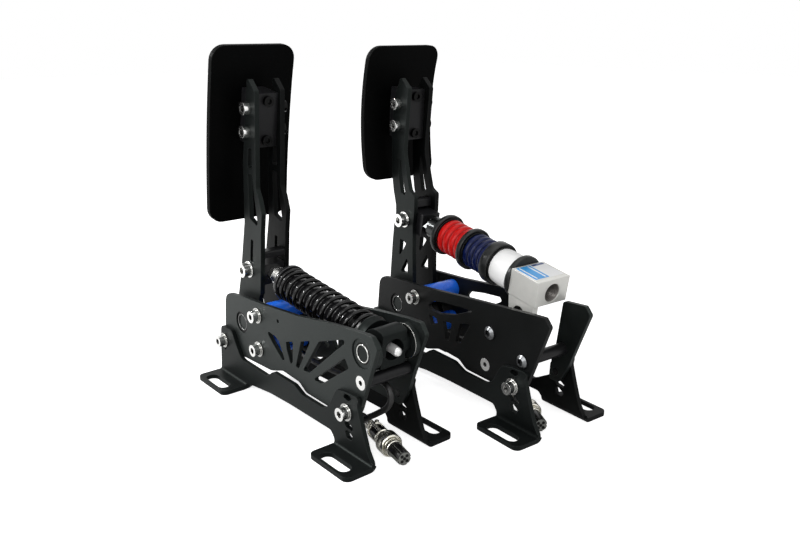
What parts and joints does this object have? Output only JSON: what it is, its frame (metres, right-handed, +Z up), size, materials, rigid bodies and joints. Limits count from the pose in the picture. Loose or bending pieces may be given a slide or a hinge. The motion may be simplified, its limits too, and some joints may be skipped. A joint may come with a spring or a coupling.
{
  "type": "sim racing pedal set",
  "caption": "Throttle and brake sim racing pedals on slotted plate frames: spring return throttle, elastomer and load cell brake, curved face plates, cables with round plugs.",
  "frame": {"origin": "middle of the set's footprint on the floor, cables left out", "axes": "+X to the driver's right, +Y the way the foot pushes, +Z up"},
  "size_m": [0.2004, 0.2338, 0.2442],
  "materials": {
    "black_plate": "satin",
    "black_bracket": "satin",
    "black_arm": "satin",
    "black_face": "matte",
    "black_anodised": "satin",
    "bright_screw": "polished",
    "grey_screw": "satin",
    "bright_steel": "polished",
    "dark_steel": "satin",
    "bush": "satin",
    "blue_sleeve": "satin",
    "spring_black": "gloss",
    "rubber_red": "satin",
    "rubber_navy": "satin",
    "rubber_white": "satin",
    "cell_silver": "satin",
    "cable_black": "satin",
    "plug_metal": "polished",
    "plug_black": "satin"
  },
  "bodies": {
    "base": {"throttle_side_plate_right": "black_plate", "throttle_side_plate_left": "black_plate", "throttle_bracket_right": "black_bracket", "throttle_bracket_left": "black_bracket", "brake_side_plate_right": "black_plate", "brake_side_plate_left": "black_plate", "brake_bracket_right": "black_bracket", "brake_bracket_left": "black_bracket", "pivot_bushes": "bush", "stop_bars": "dark_steel", "stop_sleeves": "blue_sleeve", "front_tubes": "black_anodised", "frame_screws": "bright_screw", "frame_washers": "bright_steel", "flat_screws": "bright_screw", "button_screws": "grey_screw", "throttle_spring_seat": "black_anodised", "throttle_trunnion": "black_anodised", "brake_front_plate_left": "black_plate", "throttle_sensor": "plug_black", "brake_ring_4": "black_anodised", "brake_load_cell": "cell_silver", "brake_cell_mount": "black_anodised", "throttle_cable": "cable_black", "brake_cable": "cable_black", "plug_shells": "plug_metal", "plug_rings": "plug_metal", "plug_inserts": "plug_black"},
    "throttle_pedal": {"throttle_axle": "dark_steel", "throttle_hub_rings": "dark_steel", "throttle_arm_right": "black_arm", "throttle_arm_left": "black_arm", "throttle_arm_crossbar": "black_anodised", "throttle_face_block": "black_anodised", "throttle_face_plate": "black_face", "throttle_arm_screws": "bright_screw", "throttle_clevis_screw": "bright_screw"},
    "throttle_pushrod": {"throttle_clevis": "black_anodised", "throttle_rod": "bright_steel", "throttle_rod_nut": "bright_steel", "throttle_spring_collar": "black_anodised", "throttle_spring": "spring_black"},
    "brake_pedal": {"brake_axle": "dark_steel", "brake_hub_rings": "dark_steel", "brake_arm_right": "black_arm", "brake_arm_left": "black_arm", "brake_arm_crossbar": "black_anodised", "brake_face_block": "black_anodised", "brake_face_plate": "black_face", "brake_arm_screws": "bright_screw", "brake_clevis_screw": "bright_screw"},
    "brake_pushrod": {"brake_clevis": "black_anodised", "brake_rod": "bright_steel", "brake_rod_nut": "dark_steel", "brake_ring_1": "black_anodised", "brake_elastomer_red": "rubber_red"},
    "brake_stack_2": {"brake_ring_2": "black_anodised", "brake_elastomer_navy": "rubber_navy"},
    "brake_stack_3": {"brake_ring_3": "black_anodised", "brake_elastomer_white": "rubber_white"}
  },
  "joints": [
    {"name": "throttle_press", "type": "hinge", "parent": "base", "child": "throttle_pedal", "pos_m": [0.05719, -0.08533, 0.049], "axis": [-1, 0, 0], "range_deg": [0, 16], "stiffness_Nm_per_rad": 7.4, "springref_deg": -5.73, "deforming": ["throttle_spring"]},
    {"name": "throttle_rod_turn", "type": "hinge", "parent": "throttle_pedal", "child": "throttle_pushrod", "pos_m": [0.05719, -0.08463, 0.088], "axis": [1, 0, 0], "range_deg": [0, 16.4]},
    {"name": "brake_press", "type": "hinge", "parent": "base", "child": "brake_pedal", "pos_m": [-0.05561, -0.04353, 0.049], "axis": [-0.9981, 0.061, 0], "range_deg": [0, 7], "stiffness_Nm_per_rad": 250, "springref_deg": -0.57, "deforming": ["brake_elastomer_red", "brake_elastomer_navy", "brake_elastomer_white"]},
    {"name": "brake_rod_turn", "type": "hinge", "parent": "brake_pedal", "child": "brake_pushrod", "pos_m": [-0.05568, -0.04463, 0.1148], "axis": [0.9981, -0.061, 0], "range_deg": [0, 6.8]},
    {"name": "brake_ring_2_slide", "type": "slide", "parent": "brake_pushrod", "child": "brake_stack_2", "axis": [-0.0602, -0.985, 0.1616], "range_m": [0, 0.0036]},
    {"name": "brake_ring_3_slide", "type": "slide", "parent": "brake_pushrod", "child": "brake_stack_3", "axis": [-0.0602, -0.985, 0.1616], "range_m": [0, 0.0061]}
  ],
  "couplings": [
    {"joint": "throttle_rod_turn", "follows": "throttle_press", "ratio": 1.0044},
    {"joint": "brake_rod_turn", "follows": "brake_press", "ratio": 0.9319},
    {"joint": "brake_ring_2_slide", "follows": "brake_press", "m_per_rad": 0.02804},
    {"joint": "brake_ring_3_slide", "follows": "brake_press", "m_per_rad": 0.0485}
  ]
}
